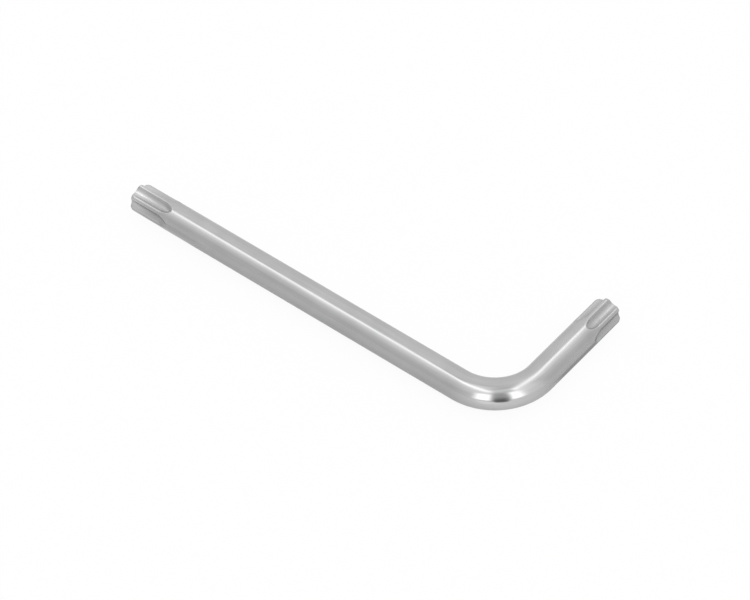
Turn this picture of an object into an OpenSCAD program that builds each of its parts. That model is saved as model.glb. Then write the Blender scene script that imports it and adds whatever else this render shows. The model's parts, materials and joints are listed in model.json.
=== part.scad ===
// Star key: an L-shaped driver for six-lobe screws, bent from one round steel bar.
// The key lies flat: +Z is up, the long arm runs along X and the short arm along Y.
// The origin is under the middle of the key's box, on the surface it lies on.

/* [Bar] */
// Diameter of the round bar
bar_d = 6.6; // [5.5:0.05:8]
// Length over all of the long arm, from its end face to the outside of the short arm
long_length = 100; // [70:1:200]
// Length over all of the short arm, from its end face to the outside of the long arm
short_length = 38.2; // [36:0.1:90]
// Radius of the bend, along the middle of the bar
bend_r = 11.6; // [6:0.1:14]

/* [Star tips] */
// Distance across two opposite flutes
across_flutes = 4.77; // [4.2:0.01:5.2]
// Radius that rounds each lobe between its two flutes
lobe_r = 0.55; // [0.45:0.01:0.65]
// Height by which the rounded lobes would stand proud of the bar, which leaves a narrow land on each crest
lobe_rise = 0.05; // [0.03:0.01:0.1]
// Length of the full star profile on the long arm, from the end face
long_drive = 7.3; // [3:0.1:9]
// Length of the full star profile on the short arm, from the end face
short_drive = 6.3; // [3:0.1:8]
// Length over which the flutes run out into the bar
runout_length = 2.9; // [2:0.1:6]
// Plain bar between the end of the flutes and the arm
tip_root = 1; // [0.5:0.1:3]
// How much a tip's radius narrows from its root to its end, the draft of the die that presses it
tip_draft = 0.02; // [0.01:0.01:0.1]
// Chamfer round each end face
end_chamfer = 0.4; // [0.1:0.05:0.7]
// Turn of the star about the bar, from a flute at 60 degrees above the outside of the bend
star_turn = 8; // [-30:1:30]

/* [Hidden] */
$fn = 96;

// How far cuts run past the faces they open
overrun = 1;
steel = "silver";
lobes = 6;
pitch = 360 / lobes;
bend_angle = 90;

bar_r = bar_d / 2;
corner_x = long_length / 2;
corner_y = -short_length / 2;
bend_x = corner_x - bar_r - bend_r;
bend_y = corner_y + bar_r + bend_r;

// The tips, and the plain arms between the tips and the bend
tip_foot = tip_root + runout_length;
long_tip_length = tip_foot + long_drive;
short_tip_length = tip_foot + short_drive;
long_arm_length = long_length - bar_r - bend_r - long_tip_length;
short_arm_length = short_length - bar_r - bend_r - short_tip_length;

// The six-lobe profile: lobe circles and flute circles that touch where they meet
flute_depth = across_flutes / 2;
lobe_centre = bar_r + lobe_rise - lobe_r;
lobe_u = lobe_centre * cos(pitch / 2);
lobe_w = lobe_centre * sin(pitch / 2);
flute_r = (pow(lobe_r, 2) - pow(lobe_centre, 2) - pow(flute_depth, 2) + 2 * flute_depth * lobe_u)
    / (2 * (flute_depth - lobe_u - lobe_r));
flute_centre = flute_depth + flute_r;
touch_share = flute_r / (flute_r + lobe_r);
touch_u = flute_centre + (lobe_u - flute_centre) * touch_share;
touch_w = lobe_w * touch_share;

// The flute's floor leaves the star on an arc that reaches the bar's surface after the run-out length
floor_rise = bar_r - flute_depth;
floor_arc_r = (pow(runout_length, 2) + pow(floor_rise, 2)) / (2 * floor_rise);
runout_axis = flute_depth + floor_arc_r;
runout_angle = asin((runout_length + tip_root / 2) / floor_arc_r);

// What one flute takes out of the bar, in a section square to it: along x from the bar's axis, across in y
module flute_section() {
    outer_u = bar_r + overrun;
    outer_w = outer_u * tan(pitch / 2);
    translate([flute_centre, 0]) circle(r = flute_r);
    difference() {
        polygon([
            [touch_u, -touch_w], [lobe_u, -lobe_w], [outer_u, -outer_w],
            [outer_u, outer_w], [lobe_u, lobe_w], [touch_u, touch_w]
        ]);
        for (side = [-1, 1]) translate([lobe_u, side * lobe_w]) circle(r = lobe_r);
    }
}

// One flute: straight along the drive, then curving out of the bar towards the arm
module flute_cut(drive) {
    translate([0, 0, tip_foot]) {
        linear_extrude(drive + overrun) flute_section();
        translate([runout_axis, 0, 0])
            rotate([90, 0, 0])
                rotate([0, 0, 180])
                    rotate_extrude(angle = runout_angle)
                        translate([runout_axis, 0]) mirror([1, 0]) flute_section();
    }
}

// A star tip along +Z, with its root at the origin; its outside-of-the-bend direction is +X, and +Y is up
module star_tip(drive) {
    tip_length = tip_foot + drive;
    first_flute = pitch + star_turn;
    end_r = bar_r - tip_draft;
    difference() {
        rotate_extrude() polygon([
            [0, 0], [bar_r, 0], [end_r, tip_length - end_chamfer],
            [end_r - end_chamfer, tip_length], [0, tip_length]
        ]);
        for (k = [0 : lobes - 1]) rotate([0, 0, first_flute + k * pitch]) flute_cut(drive);
    }
}

module long_tip() {
    root_x = long_tip_length - long_length / 2;
    color(steel) translate([root_x, corner_y + bar_r, bar_r])
        rotate([90, 0, -90]) star_tip(long_drive);
}

module long_arm() {
    color(steel) translate([bend_x - long_arm_length, corner_y + bar_r, bar_r])
        rotate([0, 90, 0]) cylinder(h = long_arm_length, r = bar_r);
}

module bend() {
    color(steel) translate([bend_x, bend_y, bar_r])
        rotate([0, 0, -bend_angle]) rotate_extrude(angle = bend_angle)
            translate([bend_r, 0]) circle(r = bar_r);
}

module short_arm() {
    color(steel) translate([corner_x - bar_r, bend_y, bar_r])
        rotate([-90, 0, 0]) cylinder(h = short_arm_length, r = bar_r);
}

module short_tip() {
    root_y = short_length / 2 - short_tip_length;
    color(steel) translate([corner_x - bar_r, root_y, bar_r])
        rotate([-90, 0, 0]) mirror([0, 1, 0]) star_tip(short_drive);
}

long_tip();
long_arm();
bend();
short_arm();
short_tip();
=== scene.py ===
# %% [markdown]
# # A star key, dressed for the camera
# The key is one length of round steel bar. Its two ends are pressed to a six-lobe star, the bar is bent to
# an L, and the whole is polished and plated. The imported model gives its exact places, and this script lays
# finished surfaces over them: rounded edges, drawing lines, thin plating and the marks of handling.

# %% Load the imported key
import json
import math
import bmesh
import bpy
from mathutils import Euler, Matrix, Vector


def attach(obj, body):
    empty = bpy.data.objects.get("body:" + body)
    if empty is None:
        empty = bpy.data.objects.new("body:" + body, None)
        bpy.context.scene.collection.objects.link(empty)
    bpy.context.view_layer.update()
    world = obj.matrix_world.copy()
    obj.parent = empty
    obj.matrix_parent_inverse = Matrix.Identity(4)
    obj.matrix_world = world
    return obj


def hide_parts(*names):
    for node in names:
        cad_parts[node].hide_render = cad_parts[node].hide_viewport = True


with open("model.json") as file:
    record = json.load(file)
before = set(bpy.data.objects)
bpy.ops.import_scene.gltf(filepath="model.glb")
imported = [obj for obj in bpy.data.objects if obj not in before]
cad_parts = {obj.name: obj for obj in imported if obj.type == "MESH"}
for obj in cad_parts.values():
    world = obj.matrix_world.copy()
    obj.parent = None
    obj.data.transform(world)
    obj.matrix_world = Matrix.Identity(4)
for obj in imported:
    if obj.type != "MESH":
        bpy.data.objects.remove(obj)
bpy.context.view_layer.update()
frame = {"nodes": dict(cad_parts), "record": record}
print("packed nodes:", sorted(frame["nodes"]))

# %% [markdown]
# ## Where the key lies
# The record states the two plain arms as pins and the two ends as flat faces. Reading the places from there
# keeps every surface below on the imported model, also after a change of size.

# %% Read the bar's places from the record
MM = 0.001
mounts = {mount["name"]: mount for mount in frame["record"]["mounts"]}
long_shank = mounts["long_shank"]
short_shank = mounts["short_shank"]
bar_r = long_shank["dims"]["r_mm"] * MM
axis_height = long_shank["pos_m"][2]
long_axis_y = long_shank["pos_m"][1]
short_axis_x = short_shank["pos_m"][0]
long_half = long_shank["dims"]["length_mm"] * MM / 2
short_half = short_shank["dims"]["length_mm"] * MM / 2
long_root_x = long_shank["pos_m"][0] - long_half
bend_x = long_shank["pos_m"][0] + long_half
bend_y = short_shank["pos_m"][1] - short_half
short_root_y = short_shank["pos_m"][1] + short_half
bend_r = short_axis_x - bend_x
long_end_x = mounts["long_end"]["pos_m"][0]
short_end_y = mounts["short_end"]["pos_m"][1]
print(f"bar radius {bar_r / MM:.3f} mm, bend radius {bend_r / MM:.2f} mm")

# %% [markdown]
# ## The bar straightened out
# A drawn bar is streaked along its length, and the streaks follow it round the bend. Object coordinates
# can't do that, so each vertex stores where it lay before the bar was bent: along the bar, out from it
# towards the outside of the bend, and up. The finishes read this as an attribute.

# %% Straighten a point of the key
QUARTER = math.pi / 2
bend_start = bend_x - long_end_x
bend_stop = bend_start + bend_r * QUARTER


def straightened(point):
    up = point.z - axis_height
    if point.x <= bend_x:
        return Vector((point.x - long_end_x, long_axis_y - point.y, up))
    if point.y >= bend_y:
        return Vector((bend_stop + point.y - bend_y, point.x - short_axis_x, up))
    reach = Vector((point.x - bend_x, point.y - bend_y))
    turned = math.atan2(reach.y, reach.x) + QUARTER
    return Vector((bend_start + bend_r * turned, reach.length - bend_r, up))


def finish_piece(bm, name, node):
    """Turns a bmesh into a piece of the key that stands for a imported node."""
    bmesh.ops.recalc_face_normals(bm, faces=bm.faces[:])
    place = bm.verts.layers.float_vector.new("straight_bar")
    for vert in bm.verts:
        vert[place] = straightened(vert.co)
    mesh = bpy.data.meshes.new(name)
    bm.to_mesh(mesh)
    bm.free()
    piece = bpy.data.objects.new(name, mesh)
    bpy.context.scene.collection.objects.link(piece)
    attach(piece, "root")
    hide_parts(node)
    print(f"{name}: {len(mesh.polygons)} faces")
    return piece


print(f"bar is {(bend_stop + short_end_y - bend_y) / MM:.1f} mm long straightened")

# %% [markdown]
# ## The plain arms
# Between the tips and the bend the bar is simply round. A primitive cylinder would do for its shape, but the
# arms have to meet the bend vertex for vertex, or the reflections break at the joint. So each arm starts as
# the same ring that the bend is spun from, and is extruded along its axis. The ends are closed with sharp
# edges, which keeps the shading of the round side square to the bar.

# %% Extrude the two arms
BAR_SIDES = 192
X_AXIS = Vector((1, 0, 0))
Y_AXIS = Vector((0, 1, 0))
UP = Vector((0, 0, 1))


def bar_frame(origin, outside, along):
    """A matrix that takes a ring in XY to a section of the bar: x outside, y up, z along."""
    turn = Matrix((outside, UP, along)).transposed().to_4x4()
    return Matrix.Translation(origin) @ turn


def mark_round_side(bm):
    """Smooth on the round side, sharp where a flat end closes it."""
    for face in bm.faces:
        face.normal_update()
        face.smooth = len(face.verts) == 4
    for edge in bm.edges:
        kinds = {len(face.verts) == 4 for face in edge.link_faces}
        edge.smooth = len(kinds) == 1


def plain_arm(name, node, start, along, outside, length, stretches):
    bm = bmesh.new()
    section = bar_frame(start, outside, along)
    bmesh.ops.create_circle(bm, cap_ends=True, segments=BAR_SIDES, radius=bar_r, matrix=section)
    front = bm.faces[:]
    for step in range(stretches):
        grown = bmesh.ops.extrude_face_region(bm, geom=front, use_keep_orig=step == 0)
        moved = [part for part in grown["geom"] if isinstance(part, bmesh.types.BMVert)]
        front = [part for part in grown["geom"] if isinstance(part, bmesh.types.BMFace)]
        bmesh.ops.translate(bm, verts=moved, vec=along * (length / stretches))
    bmesh.ops.recalc_face_normals(bm, faces=bm.faces[:])
    mark_round_side(bm)
    return finish_piece(bm, name, node)


long_start = Vector((long_root_x, long_axis_y, axis_height))
short_start = Vector((short_axis_x, bend_y, axis_height))
long_bar = plain_arm("long_arm_bar", "long_arm", long_start, X_AXIS, -Y_AXIS, 2 * long_half, 24)
short_bar = plain_arm("short_arm_bar", "short_arm", short_start, Y_AXIS, X_AXIS, 2 * short_half, 6)

# %% [markdown]
# ## The bend
# The bar is bent cold round a former, to a radius of under two bar diameters. A curve with a round bevel
# could make it, but a spin of the bar's own ring about the former's axis is exact, and it ends on the same
# vertices as the arms. Each vertex also stores how far it faces outwards, most at the middle of the bend,
# where the finish paints a highlight on the side that faces the camera.

# %% Spin the bend
BEND_STEPS = 64


def quarter_bend(name, node):
    bm = bmesh.new()
    section = bar_frame(Vector((bend_x, bend_y - bend_r, axis_height)), -Y_AXIS, X_AXIS)
    bmesh.ops.create_circle(bm, cap_ends=True, segments=BAR_SIDES, radius=bar_r, matrix=section)
    start_faces = bm.faces[:]
    former = Vector((bend_x, bend_y, axis_height))
    bmesh.ops.spin(
        bm, geom=start_faces, cent=former, axis=UP, angle=QUARTER, steps=BEND_STEPS, use_duplicate=False
    )
    bmesh.ops.remove_doubles(bm, verts=bm.verts[:], dist=1e-8)
    bmesh.ops.recalc_face_normals(bm, faces=bm.faces[:])
    mark_round_side(bm)
    # Painted highlight: the outside of the bend, which faces the camera, is made lighter, most at its
    # middle.
    burnish = bm.verts.layers.float.new("burnish")
    for vert in bm.verts:
        straight = straightened(vert.co)
        turned = (straight.x - bend_start) / (bend_stop - bend_start)
        outwards = max(straight.y / bar_r, 0.0)
        vert[burnish] = outwards**2 * math.sin(math.pi * min(max(turned, 0.0), 1.0))
    return finish_piece(bm, name, node)


bend_bar = quarter_bend("bend_bar", "bend")

# %% [markdown]
# ## The star's profile
# A star drive has six round lobes and six round flutes that touch where they meet. Lobe and flute circles
# are all that is needed: the flute's radius follows from the depth of the flute and the size of the lobes.
# The profile is written as a radius for each angle round the bar, measured from the middle of a flute.

# %% Radius of the star at an angle
LOBES = 6
HALF_PITCH = math.pi / LOBES
across_flutes = 4.77 * MM
lobe_r = 0.55 * MM
lobe_rise = 0.05 * MM
flute_floor = across_flutes / 2
lobe_centre = bar_r + lobe_rise - lobe_r
lobe_u = lobe_centre * math.cos(HALF_PITCH)
lobe_w = lobe_centre * math.sin(HALF_PITCH)
flute_gap = lobe_r**2 - lobe_centre**2 - flute_floor**2 + 2 * flute_floor * lobe_u
flute_r = flute_gap / (2 * (flute_floor - lobe_u - lobe_r))
flute_centre = flute_floor + flute_r
touch_share = flute_r / (flute_r + lobe_r)
touch_u = flute_centre + (lobe_u - flute_centre) * touch_share
touch_angle = math.atan2(lobe_w * touch_share, touch_u)


def star_radius(angle):
    """Distance from the bar's axis to the star, at an angle from the nearest flute."""
    turned = abs(angle)
    if turned < touch_angle:
        across = flute_centre * math.sin(turned)
        return flute_centre * math.cos(turned) - math.sqrt(flute_r**2 - across**2)
    from_lobe = HALF_PITCH - turned
    across = lobe_centre * math.sin(from_lobe)
    return lobe_centre * math.cos(from_lobe) + math.sqrt(max(lobe_r**2 - across**2, 0.0))


print(f"flute radius {flute_r / MM:.3f} mm, flute {2 * math.degrees(touch_angle):.1f} degrees wide")

# %% [markdown]
# ## The run-out
# The die leaves the bar on an arc, so each flute climbs out of the steel and ends in a rounded mouth. A
# slice through the run-out is the same flute, pushed outwards by the arc. To find the surface along a ray
# from the bar's axis, the slice is searched by halving for the point where steel ends.

# %% Radius of the tip at an angle and a place along it
runout_length = 2.9 * MM
tip_root = 1.0 * MM
drive_start = tip_root + runout_length
floor_rise = bar_r - flute_floor
floor_arc_r = (runout_length**2 + floor_rise**2) / (2 * floor_rise)
runout_axis = flute_floor + floor_arc_r
HALVINGS = 26


def runout_radius(angle, past_drive):
    """Distance from the bar's axis to the flute, at a distance past the end of the full star."""
    inner = 0.5 * flute_floor
    outer = bar_r + floor_rise
    for _ in range(HALVINGS):
        middle = (inner + outer) / 2
        across = middle * math.sin(angle)
        out = runout_axis - math.hypot(runout_axis - middle * math.cos(angle), past_drive)
        if math.hypot(out, across) < star_radius(math.atan2(across, out)):
            inner = middle
        else:
            outer = middle
    return inner


print(f"run-out arc {floor_arc_r / MM:.2f} mm, full star from {drive_start / MM:.1f} mm above the root")

# %% [markdown]
# ## Rounded edges
# Pressed and plated steel has no knife edges: where a flute cuts the round bar the corner is a little round,
# and where the chamfer cuts the lobes it is rounder still. A blend of the two radii rounds the corner, and
# how much it rounds is kept as a mask for the wear that such edges show, and for the shade and highlight
# painted on them.

# %% Blend two surfaces with a round edge
edge_blend = 0.15 * MM
end_blend = 0.5 * MM
end_chamfer = 0.4 * MM
tip_draft = 0.02 * MM


def rounded_min(first, second, blend):
    """The smaller of two radii, rounded where they meet, and how near the edge that is."""
    near = max(blend - abs(first - second), 0.0) / blend
    return min(first, second) - near * near * blend / 4, near


def tip_radius(angle, height, tip_length):
    """Radius of the finished tip, and its edge mask, at a height above the tip's root."""
    past_drive = max(drive_start - height, 0.0)
    blank = bar_r - tip_draft * min(height / (tip_length - end_chamfer), 1.0)
    if past_drive > 0:
        cut = runout_radius(angle, past_drive)
    else:
        cut = star_radius(angle)
    radius, edge = rounded_min(blank, cut, edge_blend)
    from_end = tip_length - height
    cone = bar_r - tip_draft - end_chamfer + from_end
    radius, chamfer_edge = rounded_min(radius, cone, end_blend)
    return radius, max(edge, chamfer_edge)


print(f"edges are rounded over about {edge_blend / MM:.2f} mm")

# %% [markdown]
# ## Rings along a tip
# A boolean of a bar and six cutters gives a tip's shape, but leaves long thin faces that shade badly on
# bright metal. A stack of rings shades evenly. They lie close together in the run-out and at the chamfer,
# where the shape changes, and far apart on the straight flutes.

# %% Place the rings of a tip
RUNOUT_RINGS = 56
DRIVE_RINGS = 8
CHAMFER_RINGS = 16
PLAIN_ROOT_SHARE = 0.75


def evenly(first, last, count):
    return [first + (last - first) * (step + 1) / count for step in range(count)]


def ring_heights(tip_length):
    """Where the rings lie, as heights above the tip's root."""
    runout_start = tip_root * PLAIN_ROOT_SHARE
    chamfer_start = tip_length - end_chamfer - end_blend
    heights = [runout_start]
    heights += evenly(runout_start, drive_start, RUNOUT_RINGS)
    heights += evenly(drive_start, chamfer_start, DRIVE_RINGS)
    heights += evenly(chamfer_start, tip_length, CHAMFER_RINGS)
    return heights


print("rings in a tip:", 2 + RUNOUT_RINGS + DRIVE_RINGS + CHAMFER_RINGS)

# %% [markdown]
# ## The end face
# The ring at the end of a tip has to be closed. One large face would do, but it would pull the shading of
# the soft chamfer with it, so two narrow rims come first and the flat face fills the rest.

# %% Grow a ring and close the last one
END_RIMS = (0.985, 0.9)


def next_ring(bm, ring):
    """Extrudes an open ring of edges once, and gives the new ring and its vertices."""
    grown = bmesh.ops.extrude_edge_only(bm, edges=ring)
    edges = [part for part in grown["geom"] if isinstance(part, bmesh.types.BMEdge)]
    edges = [edge for edge in edges if len(edge.link_faces) == 1]
    verts = list({vert for edge in edges for vert in edge.verts})
    return edges, verts


def close_end(bm, ring):
    for share in END_RIMS:
        ring, verts = next_ring(bm, ring)
        bmesh.ops.scale(bm, verts=verts, vec=Vector((share, share, 1)))
    bmesh.ops.contextual_create(bm, geom=ring)


print("rims in an end face:", len(END_RIMS))

# %% [markdown]
# ## The star tips
# A tip starts as the bar's ring, is extruded ring by ring, and each vertex then moves in to where the die
# has pressed the steel. Three masks are stored on the way for the finish: how near an edge a vertex lies,
# how deep in a flute, and how much screws have rubbed it, which also sets how strongly a highlight is
# painted near the end. The long tip has seen more use than the short one, and carries the stronger painted
# highlight.

# %% Extrude the tips and press the star into them
TIP_SIDES = 384
# How strong the wear and the painted highlight near the end of each tip are.
LONG_TIP_USE_AND_HIGHLIGHT = 1.0
SHORT_TIP_USE_AND_HIGHLIGHT = 0.3
star_turn = math.radians(8)
first_flute = 2 * HALF_PITCH + star_turn
wear_and_highlight_length = 8.0 * MM
rim_length = 1.2 * MM
RIM_SHARE = 0.4


def flute_angle(angle):
    """Angle from the middle of the nearest flute."""
    return (angle - first_flute + HALF_PITCH) % (2 * HALF_PITCH) - HALF_PITCH


def wear_and_highlight_share(from_end):
    """How much a screw has rubbed the tip and a highlight is painted on it: most just behind the rim, less
    and less towards the bar.
    """
    rim = min(RIM_SHARE + (1 - RIM_SHARE) * from_end / rim_length, 1.0)
    return rim * max(1 - from_end / wear_and_highlight_length, 0.0) ** 2


def press_star(bm, tip_length, use_and_highlight):
    """Moves each vertex to the finished tip, and stores the masks for its finish."""
    edge_mask = bm.verts.layers.float.new("edge")
    depth_mask = bm.verts.layers.float.new("flute")
    wear_and_highlight_mask = bm.verts.layers.float.new("wear")
    for vert in bm.verts:
        radius, edge = bar_r, 0.0
        if vert.co.z > 0:
            angle = flute_angle(math.atan2(vert.co.y, vert.co.x))
            radius, edge = tip_radius(angle, vert.co.z, tip_length)
        vert[edge_mask] = edge
        vert[depth_mask] = (bar_r - radius) / floor_rise
        vert[wear_and_highlight_mask] = use_and_highlight * wear_and_highlight_share(tip_length - vert.co.z)
        flat = Vector((vert.co.x, vert.co.y, 0)).normalized() * radius
        vert.co = Vector((flat.x, flat.y, vert.co.z))


def star_tip(name, node, root, outside, along, tip_length, use_and_highlight):
    bm = bmesh.new()
    bmesh.ops.create_circle(bm, cap_ends=True, segments=TIP_SIDES, radius=bar_r)
    ring = bm.edges[:]
    below = 0.0
    for height in ring_heights(tip_length):
        ring, verts = next_ring(bm, ring)
        bmesh.ops.translate(bm, verts=verts, vec=UP * (height - below))
        below = height
    press_star(bm, tip_length, use_and_highlight)
    ring = [edge for edge in bm.edges if len(edge.link_faces) == 1]
    close_end(bm, ring)
    bmesh.ops.transform(bm, matrix=bar_frame(root, outside, along), verts=bm.verts[:])
    bmesh.ops.recalc_face_normals(bm, faces=bm.faces[:])
    mark_round_side(bm)
    return finish_piece(bm, name, node)


long_tip_root = Vector((long_root_x, long_axis_y, axis_height))
short_tip_root = Vector((short_axis_x, short_root_y, axis_height))
long_tip_length = long_root_x - long_end_x
short_tip_length = short_end_y - short_root_y
long_star = star_tip(
    "long_star_tip", "long_tip", long_tip_root, -Y_AXIS, -X_AXIS, long_tip_length, LONG_TIP_USE_AND_HIGHLIGHT
)
short_star = star_tip(
    "short_star_tip", "short_tip", short_tip_root, X_AXIS, Y_AXIS, short_tip_length, SHORT_TIP_USE_AND_HIGHLIGHT
)

# %% [markdown]
# ## Node helpers
# The finishes are built from nodes in code. Two small helpers keep that readable: one adds a node with its
# values, the other joins two sockets.

# %% Add and join nodes
def add(tree, kind, values=None, **settings):
    node = tree.nodes.new(kind)
    for key, value in settings.items():
        setattr(node, key, value)
    for socket, value in (values or {}).items():
        node.inputs[socket].default_value = value
    return node


def join(tree, source, target):
    tree.links.new(source, target)


def new_group(name, inputs, outputs):
    """A shader group whose sockets are floats, apart from the ones named Vector."""
    group = bpy.data.node_groups.new(name, "ShaderNodeTree")
    for label, default in inputs:
        kind = "NodeSocketVector" if label == "Vector" else "NodeSocketFloat"
        socket = group.interface.new_socket(label, in_out="INPUT", socket_type=kind)
        if kind == "NodeSocketFloat":
            socket.default_value = default
    for label in outputs:
        group.interface.new_socket(label, in_out="OUTPUT", socket_type="NodeSocketFloat")
    start = group.nodes.new("NodeGroupInput")
    stop = group.nodes.new("NodeGroupOutput")
    return group, start, stop


print("node helpers ready")

# %% [markdown]
# ## Drawing lines
# The bar was pulled through a die and then polished along its length, so it carries faint lines that run the
# length of the bar, a fraction of a millimetre apart and some 20 mm long. Noise that is stretched along the
# straightened bar makes them. They are far too fine to see as grooves: they only break up the reflection.

# %% Group: drawing lines along the bar
PER_MM = 1 / MM


def drawing_lines():
    group, start, stop = new_group("drawing_lines", [("Vector", None), ("Spacing", 0.3)], ["Lines", "Fine"])
    density = add(group, "ShaderNodeMath", {0: PER_MM}, operation="DIVIDE")
    stretch = add(group, "ShaderNodeVectorMath", {1: (0.02, 1.0, 1.0)}, operation="MULTIPLY")
    scaled = add(group, "ShaderNodeVectorMath", operation="SCALE")
    broad = add(group, "ShaderNodeTexNoise", {"Scale": 1.0, "Detail": 3.0, "Roughness": 0.6})
    fine = add(group, "ShaderNodeTexNoise", {"Scale": 3.7, "Detail": 2.0, "Roughness": 0.5})
    join(group, start.outputs["Spacing"], density.inputs[1])
    join(group, start.outputs["Vector"], stretch.inputs[0])
    join(group, stretch.outputs["Vector"], scaled.inputs[0])
    join(group, density.outputs["Value"], scaled.inputs["Scale"])
    join(group, scaled.outputs["Vector"], broad.inputs["Vector"])
    join(group, scaled.outputs["Vector"], fine.inputs["Vector"])
    join(group, broad.outputs["Fac"], stop.inputs["Lines"])
    join(group, fine.outputs["Fac"], stop.inputs["Fine"])
    return group


lines_group = drawing_lines()
print("made", lines_group.name)

# %% [markdown]
# ## Cloudy plating
# Plating never comes out of the bath quite even. Soft clouds a few millimetres wide change the gloss a
# little and the tone hardly at all. They aren't stretched, because the bath doesn't know which way the bar
# was drawn.

# %% Group: clouds in the plating
def plating_clouds():
    group, start, stop = new_group("plating_clouds", [("Vector", None), ("Size", 5.0)], ["Clouds", "Grain"])
    density = add(group, "ShaderNodeMath", {0: PER_MM}, operation="DIVIDE")
    scaled = add(group, "ShaderNodeVectorMath", operation="SCALE")
    cloud = add(group, "ShaderNodeTexNoise", {"Scale": 1.0, "Detail": 4.0, "Roughness": 0.55})
    grain = add(group, "ShaderNodeTexNoise", {"Scale": 38.0, "Detail": 2.0, "Roughness": 0.6})
    join(group, start.outputs["Size"], density.inputs[1])
    join(group, start.outputs["Vector"], scaled.inputs[0])
    join(group, density.outputs["Value"], scaled.inputs["Scale"])
    join(group, scaled.outputs["Vector"], cloud.inputs["Vector"])
    join(group, scaled.outputs["Vector"], grain.inputs["Vector"])
    join(group, cloud.outputs["Fac"], stop.inputs["Clouds"])
    join(group, grain.outputs["Fac"], stop.inputs["Grain"])
    return group


clouds_group = plating_clouds()
print("made", clouds_group.name)

# %% [markdown]
# ## Hairline scratches
# Keys rub against each other in their holder. The marks are hairlines at a slant to the bar, few and short.
# A narrow band cut from slanted, stretched noise gives broken thin lines that never repeat.

# %% Group: hairline scratches
def hairline_scratches():
    group, start, stop = new_group("hairline_scratches", [("Vector", None), ("Slant", 0.5)], ["Scratches"])
    turn = add(group, "ShaderNodeVectorRotate", {"Axis": (0, 1, 1)}, rotation_type="AXIS_ANGLE")
    stretch = add(group, "ShaderNodeVectorMath", {1: (180.0, 2600.0, 2600.0)}, operation="MULTIPLY")
    noise = add(group, "ShaderNodeTexNoise", {"Scale": 1.0, "Detail": 1.0, "Roughness": 0.4})
    middle = add(group, "ShaderNodeMath", {1: 0.5}, operation="SUBTRACT")
    size = add(group, "ShaderNodeMath", operation="ABSOLUTE")
    thin = {"From Min": 0.0, "From Max": 0.008, "To Min": 1.0, "To Max": 0.0}
    band = add(group, "ShaderNodeMapRange", thin)
    patches = add(group, "ShaderNodeTexNoise", {"Scale": 160.0, "Detail": 2.0})
    few = add(group, "ShaderNodeMapRange", {"From Min": 0.55, "From Max": 0.68})
    kept = add(group, "ShaderNodeMath", operation="MULTIPLY")
    join(group, start.outputs["Vector"], turn.inputs["Vector"])
    join(group, start.outputs["Slant"], turn.inputs["Angle"])
    join(group, turn.outputs["Vector"], stretch.inputs[0])
    join(group, stretch.outputs["Vector"], noise.inputs["Vector"])
    join(group, noise.outputs["Fac"], middle.inputs[0])
    join(group, middle.outputs["Value"], size.inputs[0])
    join(group, size.outputs["Value"], band.inputs["Value"])
    join(group, start.outputs["Vector"], patches.inputs["Vector"])
    join(group, patches.outputs["Fac"], few.inputs["Value"])
    join(group, band.outputs["Result"], kept.inputs[0])
    join(group, few.outputs["Result"], kept.inputs[1])
    join(group, kept.outputs["Value"], stop.inputs["Scratches"])
    return group


scratches_group = hairline_scratches()
print("made", scratches_group.name)

# %% [markdown]
# ## Maths on masks
# A finish is mostly masks that are stretched, added and mixed. Blender has a node for each step, and these
# helpers give such a node its inputs, whether they are plain numbers, colours or the outputs of other nodes.

# %% Stretch, combine and mix
def remap(tree, source, low, high, from_low=0.3, from_high=0.7):
    """Maps a range of values, which is that of a noise if it isn't given, to another."""
    values = {"From Min": from_low, "From Max": from_high, "To Min": low, "To Max": high}
    node = add(tree, "ShaderNodeMapRange", values)
    join(tree, source, node.inputs["Value"])
    return node.outputs["Result"]


def math_node(tree, operation, first, second):
    node = add(tree, "ShaderNodeMath", operation=operation)
    for socket, value in ((node.inputs[0], first), (node.inputs[1], second)):
        if isinstance(value, (int, float)):
            socket.default_value = value
        else:
            join(tree, value, socket)
    return node.outputs["Value"]


def mix_colour(tree, factor, first, second):
    node = add(tree, "ShaderNodeMix", data_type="RGBA")
    sockets = [socket for socket in node.inputs if socket.type == "RGBA"]
    for socket, value in zip(sockets, (first, second)):
        if isinstance(value, tuple):
            socket.default_value = value
        else:
            join(tree, value, socket)
    join(tree, factor, node.inputs[0])
    return [socket for socket in node.outputs if socket.type == "RGBA"][0]


print("mask helpers ready")

# %% [markdown]
# ## What both finishes share
# The bar and the tips are plated together, so they share one grey that clouds and drawing lines vary a
# little, and one relief: a bump of about a micrometre, where drawing lines and grain stand up and hairlines
# cut in. It bends the reflections just enough to look like drawn bar and not like glass.

# %% Grey and relief of the plating
STEEL = 0.41
BUMP_HEIGHT = 0.0012 * MM
HAIR_CUT = 0.4
HAIR_ROUGH = 0.10


def steel(share, blue=0.0):
    """A grey of the plated steel, lighter or darker by a share, with a trace of blue."""
    return (STEEL * share, STEEL * share, STEEL * (share + blue), 1)


LIGHT_STEEL = steel(1.05, 0.005)
DEEP_STEEL = steel(0.95, 0.005)


def mask(tree, name):
    """A mask that the piece's vertices store."""
    return add(tree, "ShaderNodeAttribute", attribute_name=name).outputs["Fac"]


def use_group(tree, group, place, **values):
    node = add(tree, "ShaderNodeGroup", node_tree=group)
    for socket, value in values.items():
        node.inputs[socket].default_value = value
    join(tree, place.outputs["Vector"], node.inputs["Vector"])
    return node


def metal(name):
    material = bpy.data.materials.new(name)
    material.use_nodes = True
    tree = material.node_tree
    shader = tree.nodes["Principled BSDF"]
    shader.inputs["Metallic"].default_value = 1.0
    place = add(tree, "ShaderNodeAttribute", attribute_name="straight_bar")
    return material, tree, shader, place


def plating_grey(tree, lines, clouds):
    tone = math_node(tree, "ADD", clouds.outputs["Clouds"], lines.outputs["Lines"])
    tone = remap(tree, tone, 0.0, 1.0, 0.75, 1.25)
    return mix_colour(tree, tone, DEEP_STEEL, LIGHT_STEEL)


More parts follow.
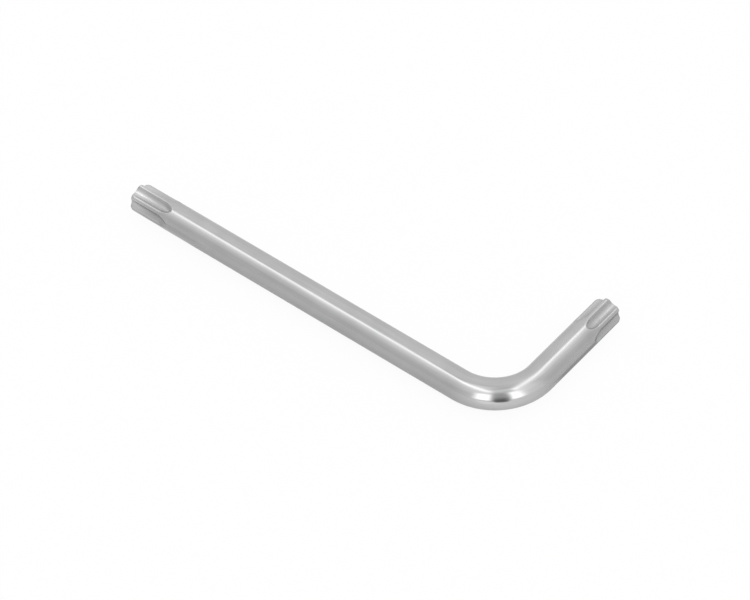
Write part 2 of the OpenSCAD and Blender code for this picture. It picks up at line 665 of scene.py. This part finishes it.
def plating_relief(tree, shader, lines, clouds, hairs, line_share, grain_share):
    relief = math_node(tree, "MULTIPLY", lines.outputs["Fine"], line_share)
    grain = math_node(tree, "MULTIPLY", clouds.outputs["Grain"], grain_share)
    relief = math_node(tree, "ADD", relief, grain)
    cut = math_node(tree, "MULTIPLY", hairs.outputs["Scratches"], HAIR_CUT)
    relief = math_node(tree, "SUBTRACT", relief, cut)
    bump = add(tree, "ShaderNodeBump", {"Strength": 1.0, "Distance": BUMP_HEIGHT})
    join(tree, relief, bump.inputs["Height"])
    join(tree, bump.outputs["Normal"], shader.inputs["Normal"])


print(f"plating: grey {STEEL}, relief {BUMP_HEIGHT / MM * 1000:.1f} micrometres")

# %% [markdown]
# ## Plated steel of the bar
# Bright satin plating over polished steel: a metal of a neutral grey, glossy enough to mirror its
# surroundings with soft edges. Drawing lines and clouds vary the gloss, hairlines catch the light, and the
# outside of the bend, which faces the camera, is painted lighter as a highlight.

# %% Material: plated bar
# A lighter grey that paints a highlight on the outside of the bend.
BEND_HIGHLIGHT_STEEL = steel(1.38)
BAR_ROUGH = (0.14, 0.19)
STREAK_ROUGH = (-0.025, 0.025)


def plated_bar():
    material, tree, shader, place = metal("plated_bar")
    lines = use_group(tree, lines_group, place, Spacing=0.32)
    clouds = use_group(tree, clouds_group, place, Size=6.0)
    hairs = use_group(tree, scratches_group, place, Slant=0.45)
    colour = plating_grey(tree, lines, clouds)
    # Painted highlight on the outside of the bend.
    colour = mix_colour(tree, mask(tree, "burnish"), colour, BEND_HIGHLIGHT_STEEL)
    join(tree, colour, shader.inputs["Base Color"])
    gloss = remap(tree, clouds.outputs["Clouds"], *BAR_ROUGH)
    streak = remap(tree, lines.outputs["Lines"], *STREAK_ROUGH)
    rub = math_node(tree, "MULTIPLY", hairs.outputs["Scratches"], HAIR_ROUGH)
    rough = math_node(tree, "ADD", math_node(tree, "ADD", gloss, streak), rub)
    join(tree, rough, shader.inputs["Roughness"])
    plating_relief(tree, shader, lines, clouds, hairs, line_share=0.35, grain_share=0.25)
    return material


bar_material = plated_bar()
for piece in (long_bar, bend_bar, short_bar):
    piece.data.materials.append(bar_material)
print("plated", long_bar.name, bend_bar.name, short_bar.name)

# %% [markdown]
# ## Plated steel of the tips
# The tips carry the same plating, but the polishing wheel doesn't reach into the flutes: they stay duller,
# with the die's marks along them, and they are painted a little darker as shade, most on their flanks. The
# edges of the lobes do the work in a screw, so they are rubbed, and they are painted lighter as a highlight
# along their whole length. Near the end the whole star is worn, and its flutes and edges are painted much
# lighter there as a highlight. The masks were stored while it was pressed.

# %% Material: plated star
# The flute greys are darker than the plating: painted shade in the flutes, darkest on their flanks.
SHADED_FLOOR_STEEL = steel(0.94, 0.01)
SHADED_FLANK_STEEL = steel(0.86, 0.01)
# A lighter grey, painted along the lobe edges as a highlight, besides their rubbed steel.
RUBBED_HIGHLIGHT_STEEL = steel(1.18)
# A much lighter grey, painted in the flutes and on the edges near the end as a highlight.
WORN_HIGHLIGHT_STEEL = steel(1.6)
TIP_ROUGH = (0.15, 0.20)
DULL_ROUGH = 0.30
RUBBED_SMOOTH = 0.05


def plated_star():
    material, tree, shader, place = metal("plated_star")
    lines = use_group(tree, lines_group, place, Spacing=0.22)
    clouds = use_group(tree, clouds_group, place, Size=3.0)
    hairs = use_group(tree, scratches_group, place, Slant=0.8)
    edge = mask(tree, "edge")
    flute = mask(tree, "flute")
    wear = mask(tree, "wear")
    pressed = math_node(tree, "MAXIMUM", flute, edge)
    # How dull the flutes and edges are, which also sets how much painted shade they get.
    dull_and_shaded = math_node(tree, "MULTIPLY", pressed, remap(tree, clouds.outputs["Clouds"], 0.8, 1.0))
    dull_and_shaded = math_node(tree, "MULTIPLY", dull_and_shaded, math_node(tree, "SUBTRACT", 1.0, wear))
    floor = remap(tree, flute, 0.0, 1.0, 0.5, 0.95)
    shade_and_marks = math_node(tree, "MULTIPLY", floor, remap(tree, lines.outputs["Lines"], 0.4, 1.0))
    # Painted highlight along the lobe edges, which are also rubbed.
    rubbed_highlight = math_node(tree, "MULTIPLY", edge, remap(tree, clouds.outputs["Grain"], 0.1, 0.5))
    # Painted highlight near the end of the star, where it is also worn.
    worn_highlight = math_node(tree, "MULTIPLY", pressed, remap(tree, clouds.outputs["Grain"], 0.7, 1.0))
    worn_highlight = math_node(tree, "MULTIPLY", worn_highlight, wear)
    colour = plating_grey(tree, lines, clouds)
    # Painted shade: flutes and edges are darkened, most on the flanks, besides being duller unpolished
    # steel.
    colour = mix_colour(tree, dull_and_shaded, colour, mix_colour(tree, shade_and_marks, SHADED_FLANK_STEEL, SHADED_FLOOR_STEEL))
    colour = mix_colour(tree, rubbed_highlight, colour, RUBBED_HIGHLIGHT_STEEL)
    colour = mix_colour(tree, worn_highlight, colour, WORN_HIGHLIGHT_STEEL)
    join(tree, colour, shader.inputs["Base Color"])
    gloss = remap(tree, clouds.outputs["Clouds"], *TIP_ROUGH)
    gloss = math_node(tree, "ADD", gloss, math_node(tree, "MULTIPLY", dull_and_shaded, DULL_ROUGH))
    gloss = math_node(tree, "SUBTRACT", gloss, math_node(tree, "MULTIPLY", rubbed_highlight, RUBBED_SMOOTH))
    rub = math_node(tree, "MULTIPLY", hairs.outputs["Scratches"], HAIR_ROUGH)
    join(tree, math_node(tree, "ADD", gloss, rub), shader.inputs["Roughness"])
    plating_relief(tree, shader, lines, clouds, hairs, line_share=0.4, grain_share=0.4)
    return material


star_material = plated_star()
for piece in (long_star, short_star):
    piece.data.materials.append(star_material)
print("plated", long_star.name, short_star.name)

# %% [markdown]
# ## The camera
# The key is seen from above its bend, from far away with a long lens, so its arms hardly converge. Azimuth 0
# looks along +Y and elevation 90 straight down, and the aim is the point of the table in the middle of view.

# %% Set the camera
VIEW_AZIMUTH = math.radians(39.494)
VIEW_ELEVATION = math.radians(47.655)
VIEW_ROLL = math.radians(-1.096)
VIEW_DISTANCE = 720.1 * MM
AIM = Vector((5.64 * MM, -5.97 * MM, 0))
SENSOR_WIDTH = 36
LENS = 168
NEAREST_SEEN = 10 * MM
upright_view = Euler((QUARTER - VIEW_ELEVATION, 0, VIEW_AZIMUTH)).to_matrix()
facing = upright_view @ Matrix.Rotation(VIEW_ROLL, 3, "Z")
camera_data = bpy.data.cameras.new("camera")
camera_data.sensor_width = SENSOR_WIDTH
camera_data.lens = LENS
camera_data.clip_start = NEAREST_SEEN
camera = bpy.data.objects.new("camera", camera_data)
camera.rotation_euler = facing.to_euler()
camera.location = AIM + facing.col[2] * VIEW_DISTANCE
bpy.context.scene.collection.objects.link(camera)
bpy.context.scene.camera = camera
bpy.context.scene.view_settings.view_transform = "Standard"
print("camera at", [round(value, 4) for value in camera.location])

# %% [markdown]
# ## Table
# A polished key shows what lies round it, so the table matters as much as the light. It is a large sheet of
# matt white paper, which fills the background, keeps the soft shadow under the bar and lights the bar's
# underside. It is bleached a little towards white where it is seen or mirrored, as in a bright studio photo.

# %% Lay the white table
TABLE_HALF = 3.0
PAPER = (0.70, 0.70, 0.70, 1)
PAPER_ROUGHNESS = 0.9
SEEN_GLOW = 0.94
MIRRORED_GLOW = 0.3


def white_paper():
    """Paper that takes the key's shadow, bleached towards white where it is seen or mirrored."""
    material = bpy.data.materials.new("white_paper")
    material.use_nodes = True
    tree = material.node_tree
    shader = tree.nodes["Principled BSDF"]
    shader.inputs["Base Color"].default_value = PAPER
    shader.inputs["Roughness"].default_value = PAPER_ROUGHNESS
    shader.inputs["Specular IOR Level"].default_value = 0.0
    ray = add(tree, "ShaderNodeLightPath").outputs
    mirrored = math_node(tree, "MAXIMUM", ray["Is Glossy Ray"], ray["Is Transmission Ray"])
    mirrored = math_node(tree, "MULTIPLY", mirrored, MIRRORED_GLOW)
    seen = math_node(tree, "MULTIPLY", ray["Is Camera Ray"], SEEN_GLOW)
    glow = math_node(tree, "MAXIMUM", mirrored, seen)
    bleach = add(tree, "ShaderNodeEmission", {"Color": (1, 1, 1, 1), "Strength": 1.0})
    mixed = add(tree, "ShaderNodeMixShader")
    join(tree, glow, mixed.inputs[0])
    join(tree, shader.outputs["BSDF"], mixed.inputs[1])
    join(tree, bleach.outputs["Emission"], mixed.inputs[2])
    join(tree, mixed.outputs["Shader"], tree.nodes["Material Output"].inputs["Surface"])
    return material


bm = bmesh.new()
bmesh.ops.create_grid(bm, x_segments=2, y_segments=2, size=TABLE_HALF)
table_mesh = bpy.data.meshes.new("table")
bm.to_mesh(table_mesh)
bm.free()
table_mesh.materials.append(white_paper())
table = bpy.data.objects.new("table", table_mesh)
bpy.context.scene.collection.objects.link(table)
print(f"table {2 * TABLE_HALF:.0f} m wide")

# %% [markdown]
# ## Cards that only the metal sees
# Photographers lay cards round bright metal to steer what it mirrors. Here a card is a flat face just above
# the table, which the camera, the light and the shadows pass by. A card that lies square can fade towards
# its edges, or its outline would show in the metal.

# %% Make a card
CARD_LIFT = 0.1 * MM


def fade_edges(tree, shader, corners, soft):
    """Lets a card that lies square fade out towards its edges."""
    place = add(tree, "ShaderNodeTexCoord").outputs["Object"]
    split = add(tree, "ShaderNodeSeparateXYZ")
    join(tree, place, split.inputs[0])
    cover = 1.0
    for axis, name in enumerate("XY"):
        low = min(corner[axis] for corner in corners)
        high = max(corner[axis] for corner in corners)
        for start, stop in ((low, low + soft), (high, high - soft)):
            values = {"From Min": start, "From Max": stop}
            fade = add(tree, "ShaderNodeMapRange", values, interpolation_type="SMOOTHSTEP")
            join(tree, split.outputs[name], fade.inputs["Value"])
            cover = math_node(tree, "MULTIPLY", fade.outputs["Result"], cover)
    join(tree, cover, shader.inputs["Alpha"])


def lay_card(name, corners, level, soft=0.0):
    """A flat card on the table, as bright as its level, that shows in reflections only."""
    bm = bmesh.new()
    bm.faces.new([bm.verts.new((x, y, CARD_LIFT)) for x, y in corners])
    bmesh.ops.recalc_face_normals(bm, faces=bm.faces[:])
    mesh = bpy.data.meshes.new(name)
    bm.to_mesh(mesh)
    bm.free()
    material = bpy.data.materials.new(name)
    material.use_nodes = True
    shader = material.node_tree.nodes["Principled BSDF"]
    shader.inputs["Base Color"].default_value = (0, 0, 0, 1)
    shader.inputs["Specular IOR Level"].default_value = 0.0
    shader.inputs["Emission Color"].default_value = (1, 1, 1, 1)
    shader.inputs["Emission Strength"].default_value = level
    mesh.materials.append(material)
    if soft > 0:
        fade_edges(material.node_tree, shader, corners, soft)
    card = bpy.data.objects.new(name, mesh)
    card.visible_camera = False
    card.visible_diffuse = False
    card.visible_shadow = False
    bpy.context.scene.collection.objects.link(card)
    print(f"{name}: level {level}")


print(f"cards lie {CARD_LIFT / MM} mm above the table")

# %% [markdown]
# ## The four cards
# The bend faces the camera, so a dark card in front of it gives contrast, and a bright one beside that
# lights its underside. A white card lightens the flutes of the long tip, and a grey one stands for the
# shadow under the short arm, so that the underside of the arm and its tip mirror painted shade.

# %% Lay the cards
CARD_SOFT = 4 * MM
DARK_AZIMUTH = -44.5
DARK_SPREAD = 13
DARK_NEAR = 17 * MM
DARK_FAR = 2.0
DARK_LEVEL = 0.14
GLOW_LENGTH = 54 * MM
GLOW_LEVEL = 1.15
TIP_LEVEL = 0.85
ARM_SHADOW_LEVEL = 0.52


def bend_card(name, azimuth, near, far, spread, level):
    """A card that widens away from the outside of the bend."""
    turn = math.radians(azimuth)
    out = Vector((math.cos(turn), math.sin(turn)))
    side = Vector((-out.y, out.x))
    foot = Vector((bend_x, bend_y)) + out * (bend_r + bar_r)
    slope = math.tan(math.radians(spread))
    corners = []
    for reach, hand in ((near, -1), (far, -1), (far, 1), (near, 1)):
        corners.append(foot + out * reach + side * (hand * reach * slope))
    lay_card(name, corners, level)


def table_card(name, left, right, front, back, level):
    """A square card with soft edges."""
    lay_card(name, ((left, front), (right, front), (right, back), (left, back)), level, CARD_SOFT)


bend_card("dark_card", DARK_AZIMUTH, DARK_NEAR, DARK_FAR, DARK_SPREAD, DARK_LEVEL)
glow_left = short_axis_x - 5 * MM
glow_right = short_axis_x + 9 * MM
glow_back = long_axis_y - bar_r - 2 * MM
table_card("glow_card", glow_left, glow_right, glow_back - GLOW_LENGTH, glow_back, GLOW_LEVEL)
tip_left = long_end_x - 6 * MM
tip_right = long_root_x + 6 * MM
tip_front = long_axis_y - 16 * MM
tip_back = long_axis_y + bar_r + 2 * MM
table_card("tip_card", tip_left, tip_right, tip_front, tip_back, TIP_LEVEL)
# A grey card under the short arm stands for its shadow: the metal mirrors painted shade there.
arm_left = short_axis_x - bar_r - 3 * MM
arm_right = short_axis_x + bar_r + 5 * MM
arm_front = bend_y + 2 * MM
arm_back = short_end_y + 7 * MM
table_card("arm_card", arm_left, arm_right, arm_front, arm_back, ARM_SHADOW_LEVEL)

# %% [markdown]
# ## Light tent
# Small bright metal is photographed in a tent of white cloth, lit from outside, with a slit for the camera.
# The tent is far larger than the key, so it is painted on the world, as brightness by direction. Small
# helpers name a direction, measure how far others lean to it, turn that into a soft mask, and lay masks over
# each other.

# %% Measure directions in the tent
world = bpy.data.worlds.new("light_tent")
bpy.context.scene.world = world
world.use_nodes = True
tent = world.node_tree
direction = add(tent, "ShaderNodeTexCoord").outputs["Generated"]
parts = add(tent, "ShaderNodeSeparateXYZ")
join(tent, direction, parts.inputs[0])
x_part, y_part, z_part = parts.outputs
around = math_node(tent, "ARCTAN2", y_part, x_part)


def height_of(elevation):
    """The upward part of a direction at an elevation."""
    return math.sin(math.radians(elevation))


def towards(azimuth, elevation):
    """A direction from the key, in degrees: azimuth from +X towards +Y, elevation from the table."""
    flat = math.cos(math.radians(elevation))
    turn = math.radians(azimuth)
    return (flat * math.cos(turn), flat * math.sin(turn), height_of(elevation))


def lean_to(vector):
    """How far a direction leans towards a given one."""
    node = add(tent, "ShaderNodeVectorMath", {1: vector}, operation="DOT_PRODUCT")
    join(tent, direction, node.inputs[0])
    return node.outputs["Value"]


def ramp(value, low, high):
    """0 at low, 1 at high, smooth between."""
    values = {"From Min": low, "From Max": high}
    node = add(tent, "ShaderNodeMapRange", values, interpolation_type="SMOOTHSTEP")
    join(tent, value, node.inputs["Value"])
    return node.outputs["Result"]


def times(*values):
    result = values[0]
    for value in values[1:]:
        result = math_node(tent, "MULTIPLY", result, value)
    return result


print("tent is painted by direction")

# %% [markdown]
# ## Strips, panels and glows
# A tent has few kinds of bright places, and each gets a function. A strip stands on the table. A panel is a
# side of the tent that is lit from outside, brightest along a line high up. A glow is a round spot of light
# on the cloth.

# %% Shape the bright places
QUARTER_DEGREES = 90
PANEL_FOOT = (0.12, 0.35)


def upright(left, right, soft_left, soft_right, top, soft_top):
    """A standing strip: azimuths of its sides, elevation of its top, and how soft each is."""
    from_left = ramp(around, math.radians(left - soft_left), math.radians(left + soft_left))
    from_right = ramp(around, math.radians(right + soft_right), math.radians(right - soft_right))
    below_top = ramp(z_part, height_of(top + soft_top), height_of(top - soft_top))
    return times(from_left, from_right, below_top)


def side_panel(azimuth, profile, fade_from, fade_to):
    """A lit side of the tent: brightness by its lean from straight up, fading out to one side."""
    ahead = lean_to(towards(azimuth, 0))
    lean = math_node(tent, "ARCTAN2", ahead, z_part)
    aside = math_node(tent, "ARCTAN2", lean_to(towards(azimuth + QUARTER_DEGREES, 0)), ahead)
    shape = add(tent, "ShaderNodeValToRGB")
    stops = shape.color_ramp.elements
    while len(stops) < len(profile):
        stops.new(0.5)
    for stop, (angle, level) in zip(stops, profile):
        stop.position = angle / QUARTER_DEGREES
        stop.color = (level, level, level, 1)
    join(tent, math_node(tent, "DIVIDE", lean, QUARTER), shape.inputs["Fac"])
    above = ramp(z_part, *PANEL_FOOT)
    fade = ramp(aside, math.radians(fade_from), math.radians(fade_to))
    return times(shape.outputs["Color"], above, fade)


def round_glow(azimuth, elevation, full, reach):
    """A round spot: where it is, the angle from there that is fully lit, and how far its light reaches."""
    lean = lean_to(towards(azimuth, elevation))
    return ramp(lean, math.cos(math.radians(reach)), math.cos(math.radians(full)))


print("bright places have their shapes")

# %% [markdown]
# ## The cloth
# The front of the tent is evenly white. Behind the key the cloth is dimmer near the table, and so is its far
# side, past the long tip.

# %% Hang the cloth
CAMERA_SIDE = -50.5
FRONT_LEVEL = 0.92
BACK_LEVEL = 1.15
BACK_DIMMED = 0.90
BACK_TOP = 1.03
FAR_SHADE = 0.3
front = ramp(lean_to(towards(CAMERA_SIDE, 0)), -0.5, 0.15)
behind = math_node(tent, "SUBTRACT", 1.0, front)
back = remap(tent, z_part, BACK_DIMMED, BACK_TOP, from_low=0.0, from_high=0.7)
back = times(back, BACK_LEVEL)
cloth = math_node(tent, "ADD", times(front, FRONT_LEVEL), times(behind, back))
far_side = times(ramp(x_part, -0.55, -0.85), ramp(y_part, 0.45, 0.15), FAR_SHADE)
cloth = times(cloth, math_node(tent, "SUBTRACT", 1.0, far_side))
print(f"cloth: front {FRONT_LEVEL}, back {BACK_LEVEL}")

# %% [markdown]
# ## The lights and the slit
# Each arm mirrors one lit panel as the bright line along it. In the bend those lines meet, helped by a glow
# on the roof and a hoop of light between the panels. Below them the bend, which faces the camera, mirrors
# the dark slit between the two bright edges of the cloth.

# %% Light the panels and cut the slit
PANEL_LEVEL = 1.4
EDGE_LEVEL = 1.4
ROOF_LEVEL = 0.5
HOOP_LEVEL = 0.25
FILL_LEVEL = 0.2
SLIT_FOOT = 0.93
SLIT_TOP = 0.41
LEFT_PANEL = [(10, 0), (13.5, 0.5), (16, 1), (19, 1), (24, 0.5), (35, 0.27), (47, 0.15), (66, 0)]
RIGHT_PANEL = [(12, 0), (15.5, 0.5), (18, 1), (20.5, 1), (25, 0.42), (35, 0.18), (47, 0.09), (66, 0)]
left_panel = side_panel(-116, LEFT_PANEL, fade_from=66, fade_to=50)
right_panel = side_panel(40, RIGHT_PANEL, fade_from=-60, fade_to=-46)
right_panel = times(right_panel, ramp(x_part, -0.35, -0.2))
left_edge = upright(left=-79, right=-58, soft_left=6, soft_right=2, top=42, soft_top=5)
right_edge = upright(left=-28.5, right=-12, soft_left=2, soft_right=7, top=52, soft_top=6)
right_fill = upright(left=-12, right=22, soft_left=5, soft_right=8, top=58, soft_top=8)
roof_glow = round_glow(-140, 78, full=5, reach=16)
hoop = upright(left=-100, right=2, soft_left=10, soft_right=10, top=77, soft_top=4)
hoop = times(hoop, ramp(z_part, height_of(58), height_of(64)))
level = cloth
for light, strength in (
    (left_panel, PANEL_LEVEL),
    (right_panel, PANEL_LEVEL),
    (left_edge, EDGE_LEVEL),
    (right_edge, EDGE_LEVEL),
    (right_fill, FILL_LEVEL),
    (roof_glow, ROOF_LEVEL),
    (hoop, HOOP_LEVEL),
):
    level = math_node(tent, "ADD", level, times(light, strength))
slit = upright(left=-54.5, right=-31.5, soft_left=3.5, soft_right=4, top=52, soft_top=6)
slit = times(slit, remap(tent, z_part, SLIT_FOOT, SLIT_TOP, from_low=0.0, from_high=0.5))
level = times(level, math_node(tent, "SUBTRACT", 1.0, slit))
background = tent.nodes["Background"]
background.inputs["Color"].default_value = (1, 1, 1, 1)
join(tent, level, background.inputs["Strength"])
print("tent painted in", len(tent.nodes), "nodes")

# %% [markdown]
# ## Finish
# The finished pieces stay inside the imported model's box. The last line brings the scene up to date.

# %% Bring the scene up to date
bpy.context.view_layer.update()
